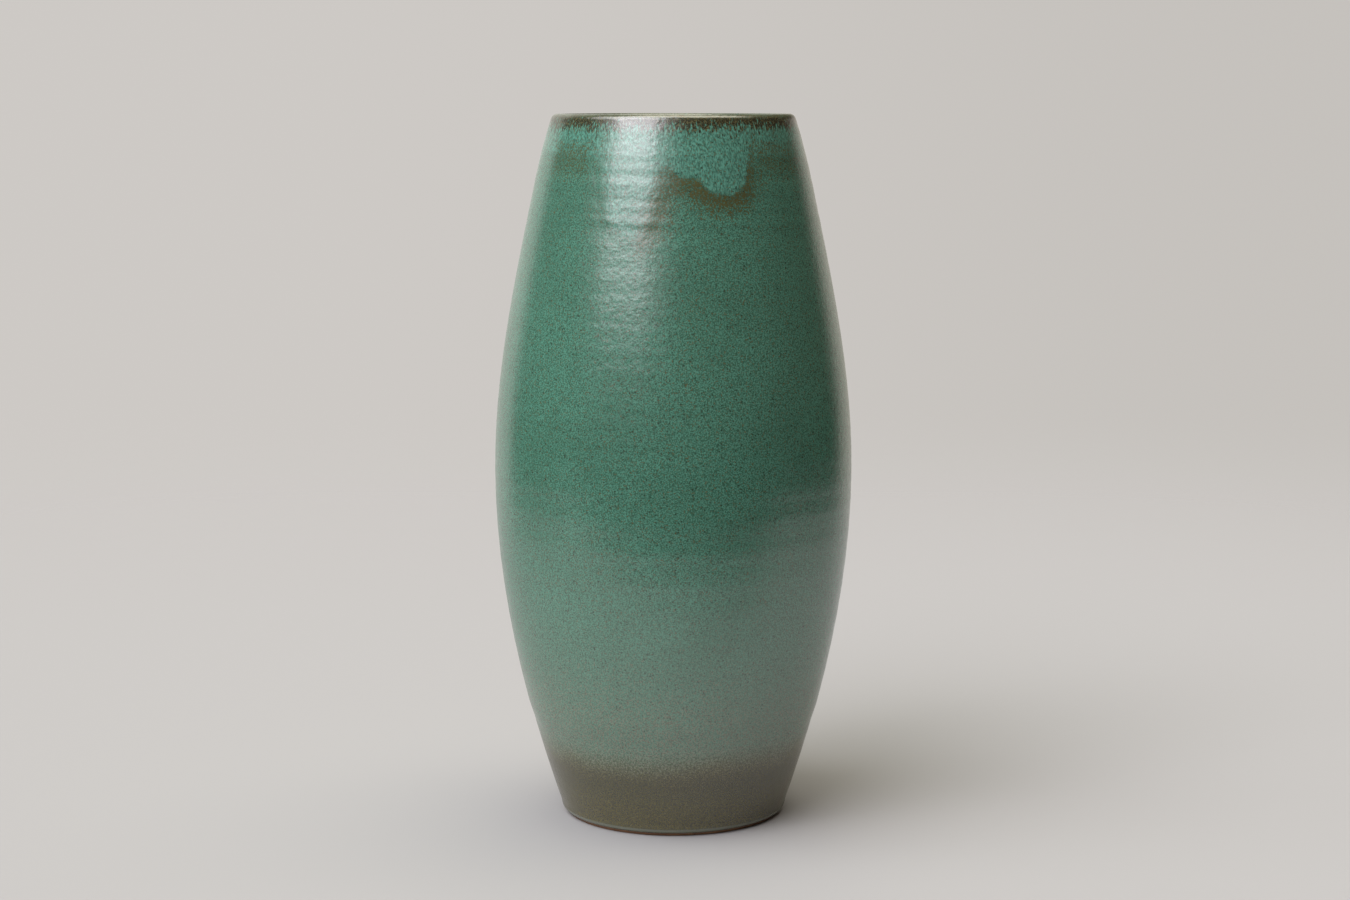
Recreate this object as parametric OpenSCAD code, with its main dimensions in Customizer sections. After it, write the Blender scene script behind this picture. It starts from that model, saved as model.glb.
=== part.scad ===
// Wheel-thrown stoneware vase: one fired clay body and the glaze coats that lie on it.
// Millimetres, +Z up, origin on the axis at the underside of the foot ring.

/* [Overall size, over the glaze] */
// Height from the foot to the top of the lip
height = 300; // [260:1:340]
// Diameter just above the foot
foot_d = 94.4; // [84:0.1:104]
// Greatest diameter, at the belly
belly_d = 152.7; // [140:0.1:166]
// Height of the belly
belly_h = 149.5; // [135:0.5:165]
// Diameter of the shoulder
shoulder_d = 121.1; // [114:0.1:128]
// Distance of the shoulder below the top
shoulder_drop = 38; // [34:1:44]
// Diameter where the wall turns into the lip
mouth_d = 103; // [98:0.1:108]

/* [Wall slopes, sideways per unit of height] */
// Outward flare of the wall at the foot
foot_flare = 0.35; // [0.2:0.01:0.45]
// Inward lean of the shoulder
shoulder_lean = 0.215; // [0.15:0.005:0.3]
// Inward lean of the wall under the lip
lip_lean = 0.34; // [0.25:0.01:0.45]

/* [Clay wall] */
// Wall thickness low down
wall_low = 7.5; // [6:0.1:9]
// Thickness of the clay at the lip
lip_t = 3.4; // [3:0.1:5]
// Thickness of the clay floor
floor_t = 8; // [6:0.5:12]
// Height above the floor where the inside starts to round in
round_in_h = 8; // [4:1:12]

/* [Foot ring] */
// Width of the ring that touches the table
foot_ring_w = 8.5; // [6:0.5:12]
// Depth of the hollow turned out under the floor
foot_hollow = 3.5; // [2:0.5:6]
// Height and run of the bevel turned on the outer edge
foot_bevel = 1.5; // [1:0.1:3]

/* [Glaze coats] */
// Thickness of the brown ground coat
ground_t = 0.3; // [0.2:0.05:0.5]
// Thickness of the green coat
green_t = 0.4; // [0.2:0.05:0.6]
// Thickness of the turquoise collar coat
collar_t = 0.3; // [0.2:0.05:0.5]
// Thickness of the coat inside
liner_t = 0.4; // [0.2:0.05:0.6]
// Height where the green coat starts
green_line = 36; // [20:1:60]
// Distance of the collar's edge below the top
collar_drop = 17; // [12:1:24]

/* [Hidden] */
$fn = 96;

// Runs of the collar glaze: [direction from the front, width, reach below the top]
runs = [
    [-17, 22, 49], [3, 24, 25], [21, 24, 32.5], [98, 26, 34],
    [128, 24, 44], [172, 30, 36], [222, 24, 49], [262, 28, 35]
];

stack_t = ground_t + green_t + collar_t;  // everything that lies on the lip
rows = 12;                               // bands between two stations of the wall
lip_steps = 6;                           // bands from the wall to the top of the lip
fillet_steps = 6;                        // bands up the fillet inside
bare_h = foot_bevel;                     // bare clay below the glaze line
clay_top = height - stack_t;
lip_angle = atan(lip_lean);
lip_r = lip_t / 2;
lip_centre = [mouth_d / 2 - (lip_r + stack_t) * cos(lip_angle), clay_top - lip_r];
floor_z = foot_hollow + floor_t;
fillet_z = floor_z + round_in_h;

// Stations of the clay wall: [height, radius, slope]
FOOT = [0, foot_d / 2 - ground_t, foot_flare];
BELLY = [belly_h, belly_d / 2 - ground_t - green_t, 0];
SHOULDER = [height - shoulder_drop, shoulder_d / 2 - ground_t - green_t, -shoulder_lean];
LIP = [lip_centre[1] + lip_r * sin(lip_angle), lip_centre[0] + lip_r * cos(lip_angle), -lip_lean];

// Cubic curve between two stations, and its slope, at height z
function share(z, a, b) = (z - a[0]) / (b[0] - a[0]);
function cubic(h, a, b, run) =
    a[1] * (1 - 3 * h * h + 2 * h * h * h) + b[1] * (3 * h * h - 2 * h * h * h)
    + run * (a[2] * (h - 2 * h * h + h * h * h) + b[2] * (h * h * h - h * h));
function cubic_slope(h, a, b, run) =
    (b[1] - a[1]) * 6 * (h - h * h) / run
    + a[2] * (1 - 4 * h + 3 * h * h) + b[2] * (3 * h * h - 2 * h);
function station_below(z) = z < BELLY[0] ? FOOT : z < SHOULDER[0] ? BELLY : SHOULDER;
function station_above(z) = z < BELLY[0] ? BELLY : z < SHOULDER[0] ? SHOULDER : LIP;
function wall_r(z, a, b) = cubic(share(z, a, b), a, b, b[0] - a[0]);
function wall_slope(z, a, b) = cubic_slope(share(z, a, b), a, b, b[0] - a[0]);

// Point of the clay wall at height z, moved outwards by t square to the wall
function wall_point(z, t) =
    let (a = station_below(z), b = station_above(z), s = wall_slope(z, a, b), n = sqrt(1 + s * s))
    [wall_r(z, a, b) + t / n, z - t * s / n];

// Heights from z0 up to the lip, closer together where the wall bends
function heights(z0) = [
    z0,
    for (span = [[FOOT, BELLY], [BELLY, SHOULDER], [SHOULDER, LIP]])
        for (i = [1:rows])
            let (z = span[0][0] + (span[1][0] - span[0][0]) * i / rows)
            if (z > z0 + 1) z
];

// Outside of the wall from z0 up to the lip, at distance t from the clay
function outside(z0, t) = [for (z = heights(z0)) wall_point(z, t)];

// Over the lip, first up to its top and then down to the inner wall
function lip(t) = [
    for (turn = [[lip_angle, 90], [90, 180 + lip_angle]])
        for (i = [1:lip_steps])
            let (a = turn[0] + (turn[1] - turn[0]) * i / lip_steps)
            lip_centre + (lip_r + t) * [cos(a), sin(a)]
];

// Thickness of the wall at height z, thinning evenly towards the lip
function wall_t(z) = wall_low + (lip_t - wall_low) * (z - floor_z) / (LIP[0] - floor_z);

// Inside of the wall from the floor fillet up to the lip, at distance t from the clay
function inside(t) = [for (z = heights(fillet_z)) wall_point(z, -wall_t(z) - t)];

// Floor inside, from the axis out and up the fillet that meets the wall without a corner
function floor_inside(t) =
    let (lean = atan(wall_slope(fillet_z, FOOT, BELLY)),
         end = wall_point(fillet_z, -wall_t(fillet_z) - t),
         fillet_r = (end[1] - floor_z - t) / (1 - sin(lean)),
         centre = [end[0] - fillet_r * cos(lean), floor_z + t + fillet_r])
    concat([[0, floor_z + t]],
           [for (i = [0:fillet_steps - 1])
               let (a = -90 + (90 - lean) * i / fillet_steps)
               centre + fillet_r * [cos(a), sin(a)]]);

function but_last(list) = [for (i = [0:len(list) - 2]) list[i]];
function reversed(list) = [for (i = [len(list) - 1:-1:0]) list[i]];

// A coat from z0 up and over the lip, between distances t0 and t1 from the clay
module coat(z0, t0, t1) {
    rotate_extrude() polygon(concat(
        outside(z0, t1), lip(t1), reversed(concat(outside(z0, t0), lip(t0)))));
}

// Wall, floor, lip and turned foot ring are one piece of clay
module clay_body() {
    foot_r = wall_point(bare_h, 0)[0] - foot_bevel;
    ring_r = foot_r - foot_ring_w;
    color("#9a6a45") rotate_extrude() polygon(concat(
        [[0, foot_hollow], [ring_r - foot_hollow / 4, foot_hollow], [ring_r, 0], [foot_r, 0]],
        outside(bare_h, 0), but_last(lip(0)), reversed(concat(floor_inside(0), inside(0)))));
}

// Brown ground coat, seen round the foot and where the other coats run thin on the lip
module ground_glaze() {
    color("#5a5340") coat(bare_h, 0, ground_t);
}

// Speckled green coat, from a line above the foot up and over the lip
module green_glaze() {
    color("#3f7f63") coat(green_line, ground_t, ground_t + green_t);
}

// One run of the collar glaze: a tongue with a round end, pointing down
module run(width, reach) {
    translate([0, 0, height]) rotate([90, 0, 0]) linear_extrude(belly_d) {
        translate([-width / 2, width / 2 - reach]) square([width, reach]);
        translate([0, width / 2 - reach]) circle(d = width);
    }
}

// Turquoise coat poured over the rim, with runs along its lower edge
module collar_glaze() {
    longest = max([for (r = runs) r[2]]);
    color("#4f9d8f") intersection() {
        coat(height - longest - 5, ground_t + green_t, stack_t);
        union() {
            translate([0, 0, height - collar_drop]) cylinder(h = collar_drop + 1, r = belly_d);
            for (r = runs) rotate(r[0]) run(r[1], r[2]);
        }
    }
}

// Coat that lines the inside, from the lip down over the floor
module liner_glaze() {
    color("#6b7f6d") rotate_extrude() polygon(concat(
        floor_inside(0), inside(0), reversed(concat(floor_inside(liner_t), inside(liner_t)))));
}

clay_body();
ground_glaze();
green_glaze();
collar_glaze();
liner_glaze();
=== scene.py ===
import math

import bpy
import numpy as np
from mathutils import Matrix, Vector
from mathutils.bvhtree import BVHTree
from mathutils.kdtree import KDTree


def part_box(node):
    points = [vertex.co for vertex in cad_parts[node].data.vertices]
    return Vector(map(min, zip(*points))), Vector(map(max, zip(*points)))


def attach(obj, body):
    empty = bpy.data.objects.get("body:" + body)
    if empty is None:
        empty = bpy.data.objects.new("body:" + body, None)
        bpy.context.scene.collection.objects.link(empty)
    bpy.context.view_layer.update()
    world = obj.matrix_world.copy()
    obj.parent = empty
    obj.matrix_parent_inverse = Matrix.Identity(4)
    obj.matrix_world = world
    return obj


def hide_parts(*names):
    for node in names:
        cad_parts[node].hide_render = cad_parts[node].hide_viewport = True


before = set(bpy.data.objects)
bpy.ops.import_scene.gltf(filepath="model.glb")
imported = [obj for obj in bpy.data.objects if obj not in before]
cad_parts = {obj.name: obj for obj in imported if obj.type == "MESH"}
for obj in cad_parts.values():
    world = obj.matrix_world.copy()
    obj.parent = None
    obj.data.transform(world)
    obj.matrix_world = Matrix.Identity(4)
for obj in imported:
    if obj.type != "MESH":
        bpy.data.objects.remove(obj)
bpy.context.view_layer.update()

# A thrown stoneware vase: the clay is the CAD node with a finish of its own, and each glaze coat is a thin
# shell laid over the clay's own outline. Outline, coat thicknesses, glaze line and collar edge come from the
# CAD. Lengths are in mm unless a name says otherwise, and azimuths are degrees from the front, to the right.
MM = 0.001
TURN = 2 * math.pi

# ---------------------------------------------------------------- shape settings

# Where the collar's edge breaks to rust: azimuth, half width in degrees, and strength
RUST_SPOTS = (
    (16, 21, 1.0),
    (-4, 11, 0.65),
    (52, 18, 0.5),
    (-50, 14, 0.5),
    (112, 20, 0.8),
    (150, 14, 0.6),
    (196, 18, 0.5),
    (226, 16, 0.9),
)
RUST_ELSEWHERE = 0.12

# Relief of the glazed surface
WOBBLE = 0.09                 # how far the wall is out of round
WOBBLE_WAVES = ((2, 0.5, 0.7, 90), (3, 0.3, 2.1, -55), (5, 0.2, 1.3, 38))  # (count, share, phase, rise)
RING_WAVES = ((12.1, 0.022), (7.3, 0.015), (5.2, 0.011))  # (pitch, height) of the throwing rings
SLOW_WAVES = ((3, 0.5), (7, 0.35), (16, 0.2), (37, 0.12))  # (count, size) of the coats' unevenness
EDGE_WANDER = 0.7             # how far the collar's edge wanders up and down
BEAD = 0.30                   # extra glaze gathered just above the bare foot
BEAD_AT = 1.9                 # its distance above the glaze line
BEAD_W = 1.3                  # its half width
RECESS = 0.15                 # how far a coat thins where another covers it
FEATHER = 8.0                 # width over which a coat's edge thins out
INNER_REACH = 11              # how far the outer coats reach down the inside
INNER_FADE = 9                # length over which they sink under the liner
TUCK = 0.1                    # how far their ends lie under the liner's face
SKIN = 0.2                    # thickness left between a coat's outer and hidden face
UNDERLAP = 0.06               # how far the green coat's thin edge starts inside the ground coat
FAR = 30.0                    # distance from the collar's edge beyond which it isn't measured
HIDDEN_STEP = 5               # spacing of points on hidden faces

# ---------------------------------------------------------------- glaze settings

# Colours, linear
GREEN_LIGHT = (0.108, 0.318, 0.228)
GREEN_DEEP = (0.044, 0.120, 0.077)
TURQUOISE_LIGHT = (0.130, 0.372, 0.282)
TURQUOISE_DEEP = (0.056, 0.163, 0.115)
BROWN_GRAIN = (0.122, 0.087, 0.032)
DARK_GRAIN = (0.024, 0.032, 0.021)
TAN_GRAIN = (0.212, 0.242, 0.176)
TAN_DEEP = (0.138, 0.132, 0.088)
FOOT_GRAIN = (0.205, 0.182, 0.100)
RUST_GRAIN = (0.098, 0.086, 0.026)
LIP_GRAIN = (0.030, 0.029, 0.014)
LIP_OCHRE = (0.120, 0.112, 0.050)
LIP_TOP = (0.105, 0.135, 0.085)
# Pooled glaze on the bead, paler, with a painted reflection of the floor
BEAD_GLAZE_AND_GLINT = (0.190, 0.215, 0.160)
OLIVE = (0.084, 0.087, 0.024)
OLIVE_BROWN = (0.130, 0.102, 0.024)
OLIVE_DARK = (0.026, 0.027, 0.014)
# Pale sage low on the wall: partly the glaze's own tone, partly a painted reflection of the pale floor
SAGE_AND_FLOOR_SHEEN = (0.145, 0.205, 0.150)
INSIDE = (0.088, 0.200, 0.140)
CLAY = (0.300, 0.155, 0.075)
CLAY_DEEP = (0.230, 0.115, 0.056)
GROG = (0.420, 0.290, 0.180)
IRON_SPOT = (0.070, 0.040, 0.025)

GLAZE_IOR = 2.0
ROUGHNESS_SPREAD = 0.03       # how far a glaze's roughness varies either way

# Sizes of the grains and clouds in the glaze
CLOUD = 30
COARSE = 3.2
PALE = 0.56
BROWN = 0.68
STREAK = 0.62
DRIP = 0.75
SPECK_CELL = 1.15

# Heights between which the glaze changes, from where a change starts to where it is complete
# Where the sage tint, with its painted floor reflection, fades in
SAGE_SHEEN_HEIGHTS = (110, 45)
TAN_HEIGHTS = (130, 60)
MORE_GRAIN_HEIGHTS = (85, 42)
FOOT_HEIGHTS = (41, 26)
FOOT_GRAIN_HEIGHTS = (22, 40)
FOOT_SHADE_HEIGHTS = (34, 24)
FOOT_BROWN_HEIGHTS = (26, 6)
# Heights of the pale band on the bead: pooled glaze with a painted reflection of the floor
ROLL_TOP = (3.6, 2.8)
ROLL_BOTTOM = (1.7, 2.2)

# Distances from the top of the lip, positive outside and negative inside
LIP_OUTSIDE = (8.0, 3.8)
LIP_INSIDE = (-7.0, -3.0)
LIP_TOP_OUTSIDE = (1.8, 0.2)
LIP_TOP_INSIDE = (-3.4, -1.4)
LINING = (-3.5, -7.0)

# ---------------------------------------------------------------- studio settings

# Flat lit panels: azimuth, elevation, reach across and up, softness of the edges, and light
PANELS = (
    (-38, 45, (-0.34, 0.34), (-0.30, 0.20), (0.09, 0.13), (4.10, 3.90, 4.20)),   # softbox
    (-38, 45, (-0.34, 0.34), (-0.53, -0.30), (0.09, 0.12), (2.20, 2.15, 2.25)),  # its weaker lower end
    (-54, 45, (-0.38, 0.34), (0.20, 0.88), (0.09, 0.13), (3.10, 3.05, 3.10)),    # overhead
    (-38, 45, (-0.62, 0.62), (-0.49, 0.25), (0.18, 0.14), (0.82, 0.82, 0.82)),   # glow round the softbox
    (-72, 53, (-0.40, 0.40), (-0.30, 0.30), (0.15, 0.15), (2.60, 2.60, 2.60)),   # left side
    (140, 78, (-0.45, 0.45), (-0.40, 0.40), (0.15, 0.15), (3.20, 3.00, 2.50)),   # warm fill, high at the back
)
# The backdrop as the vase reflects it at each side: azimuths and sines of elevation over which it starts,
# and light
LEFT_SHEET = ((-119, -135), (0.75, 0.45), (0.70, 0.67, 0.63))
RIGHT_SHEET = ((122, 146), (0.30, 0.05), (0.62, 0.58, 0.51))
ROOM_LEFT = (0.072, 0.088, 0.080)
ROOM_RIGHT = (0.044, 0.029, 0.025)
ROOM_TURN = (20, -20)         # azimuths between which the room changes
ROOM_LOW = (-0.05, 0.0)       # sines of elevation over which it starts
BACKDROP_LEFT = (0.612, 0.586, 0.560)
BACKDROP_RIGHT = (0.560, 0.536, 0.508)
BACKDROP_TURN = (-0.15, 0.25)  # sideways part of the view's direction between which they change

FLOOR = (0.384, 0.382, 0.386)
FLOOR_HALF_W_M = 1.2
FLOOR_FRONT_M = -0.50
FLOOR_BACK_M = 1.5
SIDE_FADE = (1150, 250)       # the floor fades in from the first distance to the second
BACK_FADE = (1450, 250)
FRONT_FADE = (-500, -270)
CORNER_SIDE = (-120, 350)     # the front right corner is fainter
CORNER_FRONT = (-100, -400)
CORNER_CUT = 0.75

EYE_M = (0.0007, -1.0826, 0.3076)
EYE_TILT = 82.08              # degrees up from straight down
LENS = 67.95
SENSOR = 36


# ---------------------------------------------------------------- reading the CAD

def vertices(node):
    """Radius, height, radial and upward normal of every vertex of a CAD node, in mm."""
    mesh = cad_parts[node].data
    co = np.empty(3 * len(mesh.vertices))
    normal = np.empty(3 * len(mesh.vertices))
    mesh.vertices.foreach_get("co", co)
    mesh.vertices.foreach_get("normal", normal)
    co = co.reshape(-1, 3) / MM
    normal = normal.reshape(-1, 3)
    radius = np.hypot(co[:, 0], co[:, 1])
    radial = (co[:, 0] * normal[:, 0] + co[:, 1] * normal[:, 1]) / np.maximum(radius, 1e-6)
    return radius, co[:, 2], radial, normal[:, 2]


def fit_circle(r, z):
    """Centre and radius of the circle through points of an outline."""
    rows = np.column_stack([2 * r, 2 * z, np.ones_like(r)])
    a, b, c = np.linalg.lstsq(rows, r * r + z * z, rcond=None)[0]
    return a, b, math.sqrt(c + a * a + b * b)


def rings(key, value, step=0.2):
    """One point for each ring of vertices: those whose keys lie within a step of each other."""
    order = np.argsort(key)
    key, value = key[order], value[order]
    groups = np.split(np.arange(len(key)), np.nonzero(np.diff(key) > step)[0] + 1)
    return np.array([key[g].mean() for g in groups]), np.array([value[g].mean() for g in groups])


def smooth_curve(x, y, wanted):
    """Cubic curve through the points, at the wanted places."""
    slope = np.gradient(y, x)
    i = np.clip(np.searchsorted(x, wanted) - 1, 0, len(x) - 2)
    run = x[i + 1] - x[i]
    h = (wanted - x[i]) / run
    return (y[i] * (1 - 3 * h**2 + 2 * h**3) + y[i + 1] * (3 * h**2 - 2 * h**3)
            + run * (slope[i] * (h - 2 * h**2 + h**3) + slope[i + 1] * (h**3 - h**2)))


class ClayLine:
    """The clay's outline from the bare foot up the outside, over the lip and down to the middle of the floor.

    s is the length along it in mm; at(s, t) is the point t mm off the clay."""

    def __init__(self, step=0.25):
        r, z, radial, up = vertices("clay_body")
        lip = z > z.max() - 1.0
        self.lip_r, self.lip_z, self.lip_radius = fit_circle(r[lip], z[lip])
        outer = (radial > 0.5) & (z < self.lip_z + 0.4 * self.lip_radius)
        wall_z, wall_r = rings(z[outer], r[outer])
        bare = wall_z[wall_z > 1.0][0]
        wall_r, wall_z = wall_r[wall_z >= bare], wall_z[wall_z >= bare]
        z_out = np.linspace(bare, wall_z[-1], int((wall_z[-1] - bare) / step))
        r_out = smooth_curve(wall_z, wall_r, z_out)
        start = math.atan2(z_out[-1] - self.lip_z, r_out[-1] - self.lip_r)
        r_in, z_in = self.inside(r, z, radial, up)
        end = math.atan2(z_in[0] - self.lip_z, r_in[0] - self.lip_r) % TURN
        turn = np.linspace(start, end, 24)[1:-1]
        r_lip = self.lip_r + self.lip_radius * np.cos(turn)
        z_lip = self.lip_z + self.lip_radius * np.sin(turn)
        r_all = np.concatenate([r_out, r_lip, r_in])
        z_all = np.concatenate([z_out, z_lip, z_in])
        s_all = np.concatenate([[0], np.cumsum(np.hypot(np.diff(r_all), np.diff(z_all)))])
        self.s = np.arange(0, s_all[-1], step)
        self.r = np.interp(self.s, s_all, r_all)
        self.z = np.interp(self.s, s_all, z_all)
        dr, dz = np.gradient(self.r), np.gradient(self.z)
        length = np.hypot(dr, dz)
        self.nr, self.nz = dz / length, -dr / length
        self.top = self.s[np.argmax(self.z)]
        self.inner_start = s_all[len(r_out) + len(r_lip)]
        self.end = self.s[-1]

    def inside(self, r, z, radial, up):
        """The inner wall and floor, in order from the lip to the axis."""
        middle = 0.4 * z.max()
        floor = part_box("liner_glaze")[0].z / MM
        faces_in = (radial < -0.5) | (up > 0.5)
        keep = faces_in & (z > floor - 0.1) & (z < self.lip_z + 0.2 * self.lip_radius)
        turn = np.arctan2(z[keep] - middle, r[keep])
        _, radius = rings(turn, r[keep], 0.002)
        _, height = rings(turn, z[keep], 0.002)
        return np.append(radius[::-1], 1.0), np.append(height[::-1], height[0])

    def at_height(self, z):
        """Length along the outside where the wall reaches a height."""
        outside = self.s < self.top
        return np.interp(z, self.z[outside], self.s[outside])

    def at(self, s, t):
        r = np.interp(s, self.s, self.r) + t * np.interp(s, self.s, self.nr)
        z = np.interp(s, self.s, self.z) + t * np.interp(s, self.s, self.nz)
        return r, z


def collar_edge(columns=720, spread=2.1):
    """Height of the CAD collar's lower edge at each azimuth, softened over spread degrees."""
    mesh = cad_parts["collar_glaze"].data
    tree = BVHTree.FromPolygons([v.co for v in mesh.vertices], [p.vertices for p in mesh.polygons])
    low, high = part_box("collar_glaze")
    heights = np.arange(low.z, high.z - 5 * MM, 0.5 * MM)
    azimuths = np.arange(columns) * TURN / columns
    edge = []
    for azimuth in azimuths:
        out = Vector((math.sin(azimuth), -math.cos(azimuth), 0))
        edge.append(next(z for z in heights if tree.ray_cast(out + Vector((0, 0, z)), -out, 1.0)[0]) / MM)
    softness = math.radians(spread)
    blur = np.exp(-0.5 * (np.fft.rfftfreq(columns, 1 / columns) * softness) ** 2)
    edge = np.fft.irfft(np.fft.rfft(edge) * blur, columns)
    return azimuths, edge + EDGE_WANDER * unevenness(azimuths, 3)


def unevenness(azimuth, seed):
    """A slow, closed, irregular wave round the vase, between about -1 and 1."""
    phases = (seed * 1.7, seed * 2.9 + 1, seed * 4.3 + 2, seed * 5.9 + 3)
    return sum(size * np.sin(count * azimuth + phase) for (count, size), phase in zip(SLOW_WAVES, phases))


def top_of(node):
    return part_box(node)[1].z / MM


def liner_thickness():
    _, z, _, up = vertices("liner_glaze")
    return z[up > 0.9].min() - z.min()


LINE = ClayLine()
# Outer faces of the coats, in mm off the clay: how much higher each one stands on the lip
GROUND = top_of("ground_glaze") - top_of("clay_body")
OVER_GREEN = top_of("green_glaze") - top_of("clay_body")
OVER_COLLAR = top_of("collar_glaze") - top_of("clay_body")
LINER = liner_thickness()
GREEN_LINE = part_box("green_glaze")[0].z / MM
COLLAR_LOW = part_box("collar_glaze")[0].z / MM
EDGE_AZIMUTH, EDGE_Z = collar_edge()


# ---------------------------------------------------------------- shapes

def soft_step(value, low, high):
    t = np.clip((value - low) / (high - low), 0, 1)
    return t * t * (3 - 2 * t)


def relief(azimuth, z):
    """Height of the thrown surface over the true outline: out of round, with rings that climb as it turns."""
    height = WOBBLE * sum(
        share * np.sin(count * azimuth + phase + z / rise) for count, share, phase, rise in WOBBLE_WAVES)
    strength = 0.4 + soft_step(z, 235, 255) * (1 - soft_step(z, 286, 293))
    for pitch, size in RING_WAVES:
        height = height + strength * size * np.sin(TURN * z / pitch + azimuth + pitch)
    return height


def spaced(start, end, step):
    """Places from start up to but not including end, about a step apart."""
    return np.linspace(start, end, max(1, int(round(abs(end - start) / step))), endpoint=False)


def edge_points(step=0.2):
    """The collar's edge as a tree of points on the surface, close together."""
    azimuth = np.append(EDGE_AZIMUTH, TURN)
    z = np.append(EDGE_Z, EDGE_Z[0])
    r, _ = LINE.at(LINE.at_height(z), OVER_GREEN)
    along = np.concatenate([[0], np.cumsum(np.hypot(np.diff(z), r[1:] * np.diff(azimuth)))])
    fine = np.arange(0, along[-1], step)
    azimuth, z, r = (np.interp(fine, along, v) for v in (azimuth, z, r))
    tree = KDTree(len(fine))
    for i, point in enumerate(zip(r * np.sin(azimuth), -r * np.cos(azimuth), z)):
        tree.insert(point, i)
    tree.balance()
    return tree


EDGE_TREE = edge_points()


def edge_distance(azimuth, s, t):
    """Distance of points from the collar's edge: above it positive, below it negative."""
    r, z = LINE.at(s, t)
    line = np.interp(azimuth % TURN, EDGE_AZIMUTH, EDGE_Z, period=TURN)
    distance = np.where(z > line, FAR, -FAR)
    distance[s > LINE.top] = FAR
    near = (s < LINE.top) & (z > EDGE_Z.min() - FAR)
    for i in zip(*np.nonzero(near)):
        point = (r[i] * math.sin(azimuth[i]), -r[i] * math.cos(azimuth[i]), z[i])
        distance[i] = math.copysign(min(EDGE_TREE.find(point)[2], FAR), distance[i])
    return distance


def rust_share(azimuth):
    """How strongly the collar's edge breaks to rust at each azimuth, from 0 to 1."""
    share = np.full_like(azimuth, RUST_ELSEWHERE)
    for centre, width, strength in RUST_SPOTS:
        away = np.degrees(np.abs(np.angle(np.exp(1j * (azimuth - math.radians(centre))))))
        share = np.maximum(share, strength * (1 - soft_step(away, 0.6 * width, 1.2 * width)))
    return share


def lathe(name, node, s, t, closed=True):
    """A piece turned round the axis from grids (rows by columns) of length along the clay and height off it.

    Its points carry what the glaze needs: their distance from the collar's edge and from the top of the lip,
    and the share of rust."""
    rows, columns = s.shape
    azimuth = np.broadcast_to(np.arange(columns) * TURN / columns, s.shape)
    _, height = LINE.at(s, 0)
    r, z = LINE.at(s, t + relief(azimuth, height))
    points = np.stack([r * np.sin(azimuth), -r * np.cos(azimuth), z], axis=-1).reshape(-1, 3) * MM
    here = np.arange(rows * columns).reshape(rows, columns)
    beside, above = np.roll(here, -1, axis=1), np.roll(here, -1, axis=0)
    quads = np.stack([here, beside, np.roll(above, -1, axis=1), above], axis=-1)
    faces = (quads if closed else quads[:-1]).reshape(-1, 4).tolist()
    if not closed:
        faces += [here[0][::-1].tolist(), here[-1].tolist()]
    mesh = bpy.data.meshes.new(name)
    mesh.from_pydata(points.tolist(), [], faces)
    mesh.shade_smooth()
    glaze_guides = {"edge": edge_distance(azimuth, s, t), "rim": LINE.top - s, "rust": rust_share(azimuth)}
    for attribute, values in glaze_guides.items():
        layer = mesh.attributes.new(attribute, "FLOAT", "POINT")
        layer.data.foreach_set("value", values.astype(np.float32).ravel())
    piece = bpy.data.objects.new(name, mesh)
    bpy.context.scene.collection.objects.link(piece)
    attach(piece, "root")
    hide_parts(node)
    return piece


def sunk(s, t, depth):
    """Height t off the clay, eased down past the lip until it lies depth under the liner's face."""
    inside = soft_step(s, LINE.inner_start, LINE.inner_start + INNER_FADE)
    return t + inside * (LINER - depth - t)


def coat(name, node, start, bands, thickness, columns):
    """A glaze coat from start up and over the lip to just inside it.

    bands are (end, step) along the outside, and thickness(azimuth, s) is the height of its outer face off the
    clay. The hidden face has wider bands."""
    inner_end = LINE.inner_start + INNER_REACH
    outside = []
    at = start
    for end, step in bands + ((LINE.inner_start, 0.45), (inner_end, 1.2)):
        outside.append(spaced(at, end, step))
        at = end
    outside = np.concatenate(outside + [[inner_end]])
    below_lip = LINE.top - 8
    over_lip, down = spaced(inner_end, below_lip, 1.5), spaced(below_lip, start, HIDDEN_STEP)
    hidden = np.concatenate([over_lip, down, [start]])
    azimuth = np.arange(columns) * TURN / columns
    s_out, azimuth_out = np.broadcast_arrays(outside[:, None], azimuth)
    s_in, azimuth_in = np.broadcast_arrays(hidden[:, None], azimuth)
    t_out = sunk(s_out, thickness(azimuth_out, s_out), TUCK)
    t_in = sunk(s_in, thickness(azimuth_in, s_in) - SKIN, TUCK + SKIN)
    return lathe(name, node, np.vstack([s_out, s_in]), np.vstack([t_out, t_in]))


def ground_coat():
    green_line = LINE.at_height(GREEN_LINE)

    def thickness(azimuth, s):
        bead = BEAD * np.exp(-((s - BEAD_AT - 0.4 * unevenness(azimuth, 5)) / BEAD_W) ** 2)
        covered = soft_step(s, green_line + 14, green_line + 20)
        return (GROUND + bead) * soft_step(s, -1.0, 1.0) - RECESS * covered

    bands = ((10, 0.5), (green_line + 22, 1.2), (LINE.top - 8, 6))
    return coat("ground_coat", "ground_glaze", 0.0, bands, thickness, 256)


def green_coat():
    start = LINE.at_height(GREEN_LINE)

    def thickness(azimuth, s):
        grown = soft_step(s - 2.5 * unevenness(azimuth, 8), start + 3, start + 14)
        thin = GROUND - UNDERLAP
        return thin + (OVER_GREEN - thin) * grown

    bands = ((LINE.at_height(COLLAR_LOW - 8), 1.25), (LINE.top - 2.5, 0.9))
    return coat("green_coat", "green_glaze", start, bands, thickness, 256)


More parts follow.
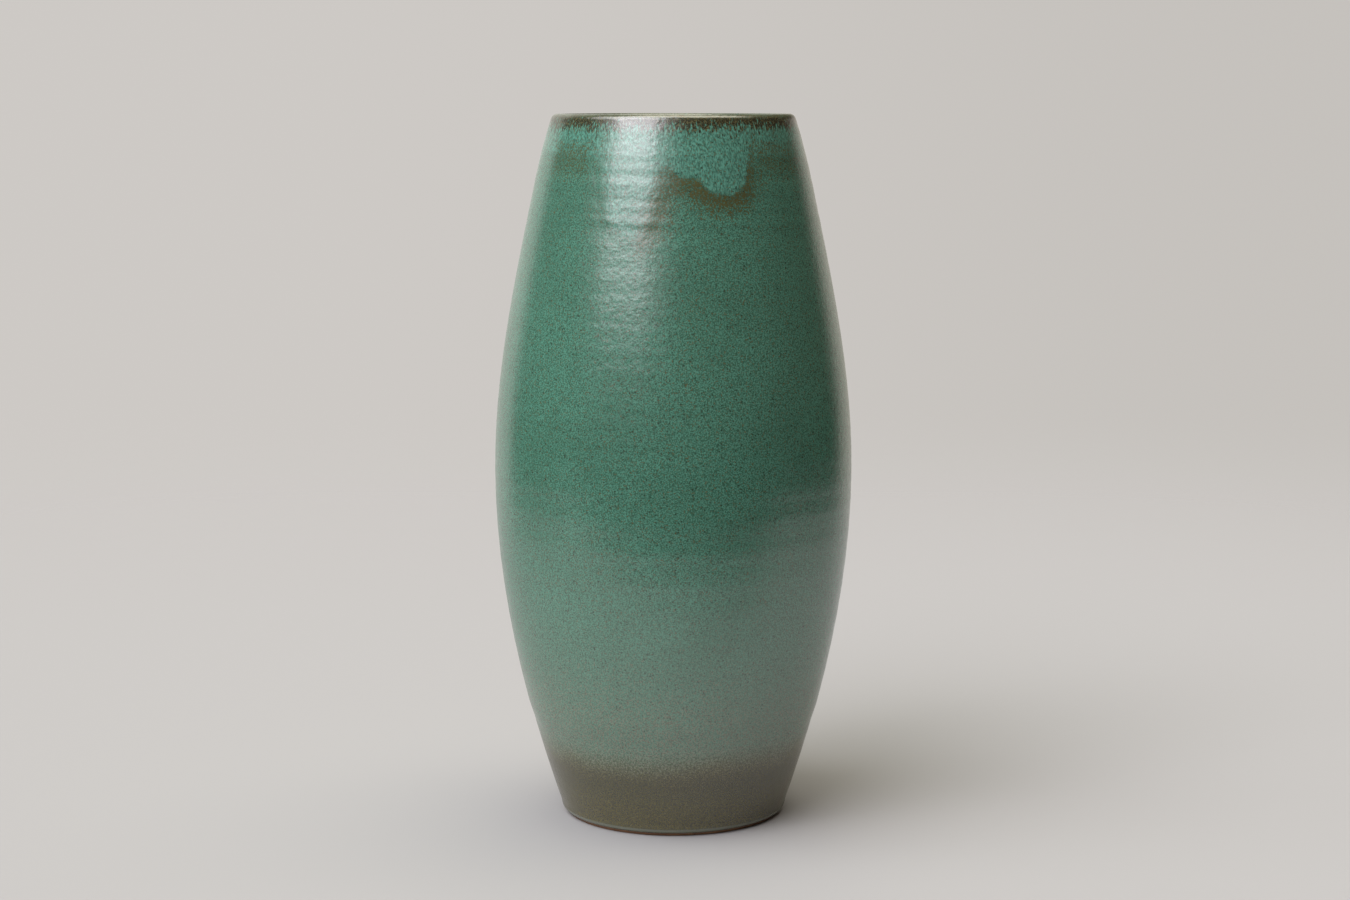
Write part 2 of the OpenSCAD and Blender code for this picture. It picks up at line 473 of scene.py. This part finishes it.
def collar_coat():
    start = LINE.at_height(EDGE_Z.min() - FEATHER - 3)

    def thickness(azimuth, s):
        inwards = edge_distance(azimuth, s, OVER_GREEN)
        grown = 0.4 * soft_step(inwards, -FEATHER, 2) + 0.6 * soft_step(inwards, 0, 25)
        thin = OVER_GREEN - 0.05
        return thin + (OVER_COLLAR - thin) * grown

    bands = ((LINE.top - 2.5, 0.8),)
    return coat("collar_coat", "collar_glaze", start, bands, thickness, 384)


def liner_coat(columns=256):
    start = LINE.inner_start + 0.5
    hidden = np.append(spaced(LINE.end, start, HIDDEN_STEP), start)
    shown = np.append(spaced(start, LINE.end, 1.2), LINE.end)
    s = np.concatenate([hidden, shown])
    t = np.concatenate([np.full(len(hidden), 0.02), np.full(len(shown), LINER)])
    s, t = (np.repeat(v[:, None], columns, axis=1) for v in (s, t))
    return lathe("liner_coat", "liner_glaze", s, t, closed=False)


# ---------------------------------------------------------------- finishes

# Sockets of a Mix node that mixes colours, which share their names with those for numbers and vectors
MIX_FIRST = 6
MIX_SECOND = 7
MIX_RESULT = 2


class Finish:
    """A material under construction. Lengths in its patterns are in mm."""

    def __init__(self, name):
        self.material = bpy.data.materials.new(name)
        self.material.use_nodes = True
        self.tree = self.material.node_tree
        self.tree.nodes.clear()
        self.output = self.node("ShaderNodeOutputMaterial")
        self.shader = self.node("ShaderNodeBsdfPrincipled")
        self.tree.links.new(self.shader.outputs["BSDF"], self.output.inputs["Surface"])
        place = self.node("ShaderNodeTexCoord").outputs["Object"]
        self.place = self.scaled(place, (1 / MM, 1 / MM, 1 / MM))

    def node(self, kind, **settings):
        made = self.tree.nodes.new(kind)
        for key, value in settings.items():
            setattr(made, key, value)
        return made

    def feed(self, socket, value):
        if isinstance(value, bpy.types.NodeSocket):
            self.tree.links.new(value, socket)
        elif isinstance(value, tuple) and len(value) == 3 and socket.type == "RGBA":
            socket.default_value = value + (1.0,)
        else:
            socket.default_value = value

    def math(self, operation, *values):
        made = self.node("ShaderNodeMath", operation=operation)
        for socket, value in zip(made.inputs, values):
            self.feed(socket, value)
        return made.outputs[0]

    def scaled(self, vector, scale):
        made = self.node("ShaderNodeVectorMath", operation="MULTIPLY")
        self.feed(made.inputs[0], vector)
        self.feed(made.inputs[1], scale)
        return made.outputs[0]

    def times(self, first, second):
        return self.math("MULTIPLY", first, second)

    def sum(self, first, second):
        return self.math("ADD", first, second)

    def step(self, value, low, high, start=0.0, end=1.0):
        """Turns smoothly from start to end as value goes from low to high."""
        made = self.node("ShaderNodeMapRange", interpolation_type="SMOOTHSTEP")
        for socket, number in zip(made.inputs, (value, low, high, start, end)):
            self.feed(socket, number)
        return made.outputs[0]

    def mix(self, factor, first, second):
        made = self.node("ShaderNodeMix", data_type="RGBA")
        self.feed(made.inputs["Factor"], factor)
        self.feed(made.inputs[MIX_FIRST], first)
        self.feed(made.inputs[MIX_SECOND], second)
        return made.outputs[MIX_RESULT]

    def around(self, value):
        """Noise shifted to vary around 0."""
        return self.math("SUBTRACT", value, 0.5)

    def attribute(self, name):
        return self.node("ShaderNodeAttribute", attribute_name=name).outputs["Fac"]

    def noise(self, size, detail=2.0, roughness=0.5, stretch=(1, 1, 1), shift=0.0):
        """Noise from 0 to 1 with features of that size, drawn out along an axis whose stretch is above 1.

        Noises with different shifts are unrelated."""
        made = self.node("ShaderNodeTexNoise", noise_dimensions="4D")
        self.feed(made.inputs["Vector"], self.scaled(self.place, tuple(1 / (size * s) for s in stretch)))
        self.feed(made.inputs["W"], shift)
        self.feed(made.inputs["Scale"], 1.0)
        self.feed(made.inputs["Detail"], detail)
        self.feed(made.inputs["Roughness"], roughness)
        return made.outputs[0]

    def flecks(self, size, share, radius, shift=0.0):
        """Separate round grains in cells of that size: share of the cells have one, radius is in cells."""
        made = self.node("ShaderNodeTexVoronoi", voronoi_dimensions="4D")
        self.feed(made.inputs["Vector"], self.scaled(self.place, (1 / size, 1 / size, 1 / size)))
        self.feed(made.inputs["W"], shift)
        self.feed(made.inputs["Scale"], 1.0)
        split = self.node("ShaderNodeSeparateColor")
        self.feed(split.inputs[0], made.outputs["Color"])
        chosen = self.step(split.outputs[0], 1 - share - 0.03, 1 - share + 0.03)
        inside = self.step(made.outputs["Distance"], radius * 1.25, radius * 0.75)
        return self.math("MULTIPLY", chosen, inside)

    def height(self):
        split = self.node("ShaderNodeSeparateXYZ")
        self.feed(split.inputs[0], self.place)
        return split.outputs[2]

    def bump(self, height):
        """Bump from a height in mm."""
        made = self.node("ShaderNodeBump")
        self.feed(made.inputs["Strength"], 1.0)
        self.feed(made.inputs["Distance"], MM)
        self.feed(made.inputs["Height"], height)
        self.tree.links.new(made.outputs[0], self.shader.inputs["Normal"])


def glaze(name, roughness):
    """The glaze over the whole vase.

    Every coat uses the same pattern, so its borders run on from coat to coat. A pattern's two numbers in a
    step are the values of the noise between which it turns."""
    f = Finish(name)
    z = f.height()
    edge = f.attribute("edge")
    rim = f.attribute("rim")
    rust = f.attribute("rust")
    cloud = f.noise(CLOUD, 2)
    coarse = f.noise(COARSE, 2, 0.6, shift=3)
    pale = f.noise(PALE, 1, 0.6, shift=5)
    brown = f.noise(BROWN, 1, 0.6, shift=7)
    streak = f.noise(STREAK, 1, 0.6, (1, 1, 2.4), shift=9)
    drip = f.noise(DRIP, 1, 0.6, (1, 1, 6), shift=21)
    ragged = f.sum(f.around(coarse), f.times(f.around(brown), 1.4))

    # Green field and turquoise collar, both made of light and deep grains, with dark specks
    field = f.mix(f.step(pale, 0.33, 0.67), GREEN_DEEP, GREEN_LIGHT)
    field = f.mix(f.step(cloud, 0.35, 0.75, 0.0, 0.25), field, GREEN_DEEP)
    # Low on the wall the green pales: glaze tone plus a painted reflection of the floor
    field = f.mix(f.step(z, *SAGE_SHEEN_HEIGHTS, 0.0, 0.30), field, SAGE_AND_FLOOR_SHEEN)
    collar = f.mix(f.step(streak, 0.33, 0.67), TURQUOISE_DEEP, TURQUOISE_LIGHT)
    wavy = f.sum(edge, f.times(ragged, 5))
    colour = f.mix(f.step(wavy, -1.5, 1.5), field, collar)
    specks = f.flecks(SPECK_CELL, 0.40, 0.34, 11)
    colour = f.mix(f.times(specks, 0.7), colour, DARK_GRAIN)

    # Rust under the collar's edge: crisp above, ragged below
    crisp = f.sum(f.sum(edge, f.times(rust, 12)), f.times(ragged, 2))
    below = f.sum(edge, f.times(ragged, 9))
    band = f.times(f.times(f.step(crisp, 13.0, 10.5), f.step(below, -11.5, -3)), rust)
    colour = f.mix(f.times(band, 0.35), colour, OLIVE_DARK)

    # Brown grains everywhere, more of them low down and in the rust, and tan towards the foot
    fewer = f.step(z, *MORE_GRAIN_HEIGHTS, 0.63, 0.50)
    fewer = f.math("SUBTRACT", fewer, f.times(band, 0.20))
    tan = f.mix(f.step(pale, 0.36, 0.64), TAN_DEEP, TAN_GRAIN)
    grain = f.mix(f.step(z, *TAN_HEIGHTS), BROWN_GRAIN, tan)
    grain = f.mix(f.step(band, 0.1, 0.5), grain, RUST_GRAIN)
    over = f.math("SUBTRACT", brown, fewer)
    colour = f.mix(f.step(over, -0.06, 0.08, 0.0, 0.85), colour, grain)

    # Olive ground coat round the foot, darkest in the middle and browner at the bottom
    uneven = f.sum(f.sum(z, f.times(f.around(brown), 26)), f.times(f.around(cloud), 10))
    foot = f.mix(f.step(brown, 0.35, 0.65), OLIVE, OLIVE_BROWN)
    foot = f.mix(f.step(z, *FOOT_BROWN_HEIGHTS, 0.0, 0.35), foot, OLIVE_BROWN)
    foot = f.mix(f.step(pale, 0.62, 0.36, 0.0, 0.7), foot, OLIVE_DARK)
    shaded = f.times(f.step(z, *FOOT_SHADE_HEIGHTS), f.step(uneven, 12, 22, 0.35, 1.0))
    foot = f.mix(f.times(shaded, 0.42), foot, OLIVE_DARK)
    light = f.times(f.step(pale, 0.52, 0.66), f.step(z, *FOOT_GRAIN_HEIGHTS, 0.12, 0.9))
    foot = f.mix(light, foot, FOOT_GRAIN)
    colour = f.mix(f.step(uneven, *FOOT_HEIGHTS), colour, foot)
    # A pale band along the bead: the paler pooled glaze plus a painted reflection of the floor
    roll = f.times(f.step(z, *ROLL_TOP), f.step(z, *ROLL_BOTTOM, 0.0, 0.7))
    colour = f.mix(roll, colour, BEAD_GLAZE_AND_GLINT)

    # The glaze breaks dark over the lip, drawn down in streaks, and pales on the lip's top
    drawn = f.sum(rim, f.times(f.around(drip), 22))
    broken = f.mix(f.step(brown, 0.45, 0.66), LIP_GRAIN, LIP_OCHRE)
    colour = f.mix(f.times(f.step(drawn, *LIP_OUTSIDE), f.step(drawn, *LIP_INSIDE)), colour, broken)
    patchy = f.sum(rim, f.times(ragged, 5))
    on_top = f.times(f.step(patchy, *LIP_TOP_OUTSIDE), f.step(patchy, *LIP_TOP_INSIDE))
    colour = f.mix(f.times(on_top, f.step(pale, 0.30, 0.55, 0.25, 0.9)), colour, LIP_TOP)

    # Inside
    lining = f.mix(f.step(pale, 0.33, 0.67), GREEN_DEEP, INSIDE)
    colour = f.mix(f.step(drawn, *LINING), colour, lining)

    f.feed(f.shader.inputs["Base Color"], colour)
    rough = f.step(coarse, 0.3, 0.7, roughness - ROUGHNESS_SPREAD, roughness + ROUGHNESS_SPREAD)
    f.feed(f.shader.inputs["Roughness"], rough)
    f.shader.inputs["IOR"].default_value = GLAZE_IOR
    peel = f.times(f.noise(2.5, 1, 0.5, shift=41), 0.11)
    fine = f.times(f.noise(0.9, 1, 0.5, shift=43), 0.035)
    f.bump(f.sum(peel, fine))
    return f.material


def clay():
    """Unglazed orange-brown stoneware with grog and turning marks."""
    f = Finish("stoneware_clay")
    body = f.mix(f.step(f.noise(6, 3, 0.6), 0.35, 0.65), CLAY_DEEP, CLAY)
    body = f.mix(f.times(f.flecks(1.3, 0.25, 0.3), 0.7), body, GROG)
    body = f.mix(f.times(f.flecks(1.8, 0.18, 0.24, 5), 0.8), body, IRON_SPOT)
    f.feed(f.shader.inputs["Base Color"], body)
    f.feed(f.shader.inputs["Roughness"], f.step(f.noise(1.1, 2), 0.3, 0.7, 0.72, 0.88))
    lines = f.times(f.noise(0.8, 2, 0.6, (40, 40, 1), shift=3), 0.05)
    pits = f.times(f.noise(0.6, 3, 0.7), 0.12)
    f.bump(f.sum(lines, pits))
    return f.material


# ---------------------------------------------------------------- studio

class Sky(Finish):
    """Light that comes from far away, drawn by direction: the panels, the backdrop and the dark room."""

    def __init__(self):
        world = bpy.data.worlds.new("studio")
        bpy.context.scene.world = world
        world.use_nodes = True
        self.tree = world.node_tree
        self.tree.nodes.clear()
        self.direction = self.node("ShaderNodeTexCoord").outputs["Generated"]
        split = self.node("ShaderNodeSeparateXYZ")
        self.feed(split.inputs[0], self.direction)
        self.x, self.y, self.z = split.outputs

    def along(self, azimuth, elevation):
        """How far the direction points towards one azimuth and elevation, in degrees."""
        a, e = math.radians(azimuth), math.radians(elevation)
        made = self.node("ShaderNodeVectorMath", operation="DOT_PRODUCT")
        self.feed(made.inputs[0], self.direction)
        self.feed(made.inputs[1], (math.sin(a) * math.cos(e), -math.cos(a) * math.cos(e), math.sin(e)))
        return made.outputs["Value"]

    def panel(self, azimuth, elevation, across, up, soft):
        """1 inside a flat lit panel that faces the vase, 0 outside.

        across and up are its reach from the centre, in units of its distance, and soft is the width of its
        edges, sideways and up."""
        ahead = self.along(azimuth, elevation)
        u = self.math("DIVIDE", self.along(azimuth + 90, 0), ahead)
        v = self.math("DIVIDE", self.along(azimuth, elevation + 90), ahead)
        shape = self.step(ahead, 0.0, 0.05)
        for value, (low, high), edge in ((u, across, soft[0]), (v, up, soft[1])):
            shape = self.times(shape, self.step(value, low - edge, low + edge))
            shape = self.times(shape, self.step(value, high + edge, high - edge))
        return shape

    def lit(self, light, panel, colour):
        """The light with one more panel of that colour."""
        made = self.node("ShaderNodeVectorMath", operation="MULTIPLY_ADD")
        for socket, value in zip(made.inputs, (panel, colour, light)):
            self.feed(socket, value)
        return made.outputs[0]


def studio():
    sky = Sky()
    azimuth = sky.math("ARCTAN2", sky.x, sky.times(sky.y, -1.0))

    def turned(start, end):
        """0 before the first azimuth, 1 past the second."""
        return sky.step(azimuth, math.radians(start), math.radians(end))

    room = sky.mix(turned(*ROOM_TURN), ROOM_RIGHT, ROOM_LEFT)
    light = sky.mix(sky.step(sky.z, *ROOM_LOW), (0, 0, 0), room)
    for *place, colour in PANELS:
        light = sky.lit(light, sky.panel(*place), colour)
    for azimuths, rises, colour in (LEFT_SHEET, RIGHT_SHEET):
        light = sky.lit(light, sky.times(turned(*azimuths), sky.step(sky.z, *rises)), colour)
    seen = sky.node("ShaderNodeLightPath").outputs["Is Camera Ray"]
    backdrop = sky.mix(sky.step(sky.x, *BACKDROP_TURN), BACKDROP_LEFT, BACKDROP_RIGHT)
    background = sky.node("ShaderNodeBackground")
    sky.feed(background.inputs["Color"], sky.mix(seen, light, backdrop))
    output = sky.node("ShaderNodeOutputWorld")
    sky.tree.links.new(background.outputs[0], output.inputs["Surface"])


def floor():
    """A pale table top whose edges fade into the backdrop."""
    x, front, back = FLOOR_HALF_W_M, FLOOR_FRONT_M, FLOOR_BACK_M
    mesh = bpy.data.meshes.new("floor")
    mesh.from_pydata([(-x, front, 0), (x, front, 0), (x, back, 0), (-x, back, 0)], [], [(0, 1, 2, 3)])
    table = bpy.data.objects.new("floor", mesh)
    bpy.context.scene.collection.objects.link(table)
    f = Finish("floor")
    f.tree.nodes.remove(f.shader)
    split = f.node("ShaderNodeSeparateXYZ")
    f.feed(split.inputs[0], f.place)
    across, along = split.outputs[0], split.outputs[1]
    kept = f.times(f.step(f.math("ABSOLUTE", across), *SIDE_FADE), f.step(along, *BACK_FADE))
    kept = f.times(kept, f.step(along, *FRONT_FADE))
    corner = f.times(f.step(across, *CORNER_SIDE), f.step(along, *CORNER_FRONT, 0.0, CORNER_CUT))
    kept = f.times(kept, f.math("SUBTRACT", 1.0, corner))
    matt = f.node("ShaderNodeBsdfDiffuse")
    f.feed(matt.inputs["Color"], FLOOR)
    clear = f.node("ShaderNodeBsdfTransparent")
    both = f.node("ShaderNodeMixShader")
    f.feed(both.inputs[0], kept)
    f.tree.links.new(clear.outputs[0], both.inputs[1])
    f.tree.links.new(matt.outputs[0], both.inputs[2])
    f.tree.links.new(both.outputs[0], f.output.inputs["Surface"])
    mesh.materials.append(f.material)


def camera():
    """About a metre off and just above the lip, looking a little down."""
    made = bpy.data.objects.new("camera", bpy.data.cameras.new("camera"))
    bpy.context.scene.collection.objects.link(made)
    made.location = EYE_M
    made.rotation_euler = (math.radians(EYE_TILT), 0, 0)
    made.data.lens = LENS
    made.data.sensor_width = SENSOR
    bpy.context.scene.camera = made


ground_coat().data.materials.append(glaze("ground_glaze", 0.24))
green_coat().data.materials.append(glaze("green_glaze", 0.22))
collar_coat().data.materials.append(glaze("collar_glaze", 0.20))
liner_coat().data.materials.append(glaze("liner_glaze", 0.22))
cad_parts["clay_body"].data.materials[0] = clay()
studio()
floor()
camera()
bpy.context.scene.view_settings.view_transform = "Standard"
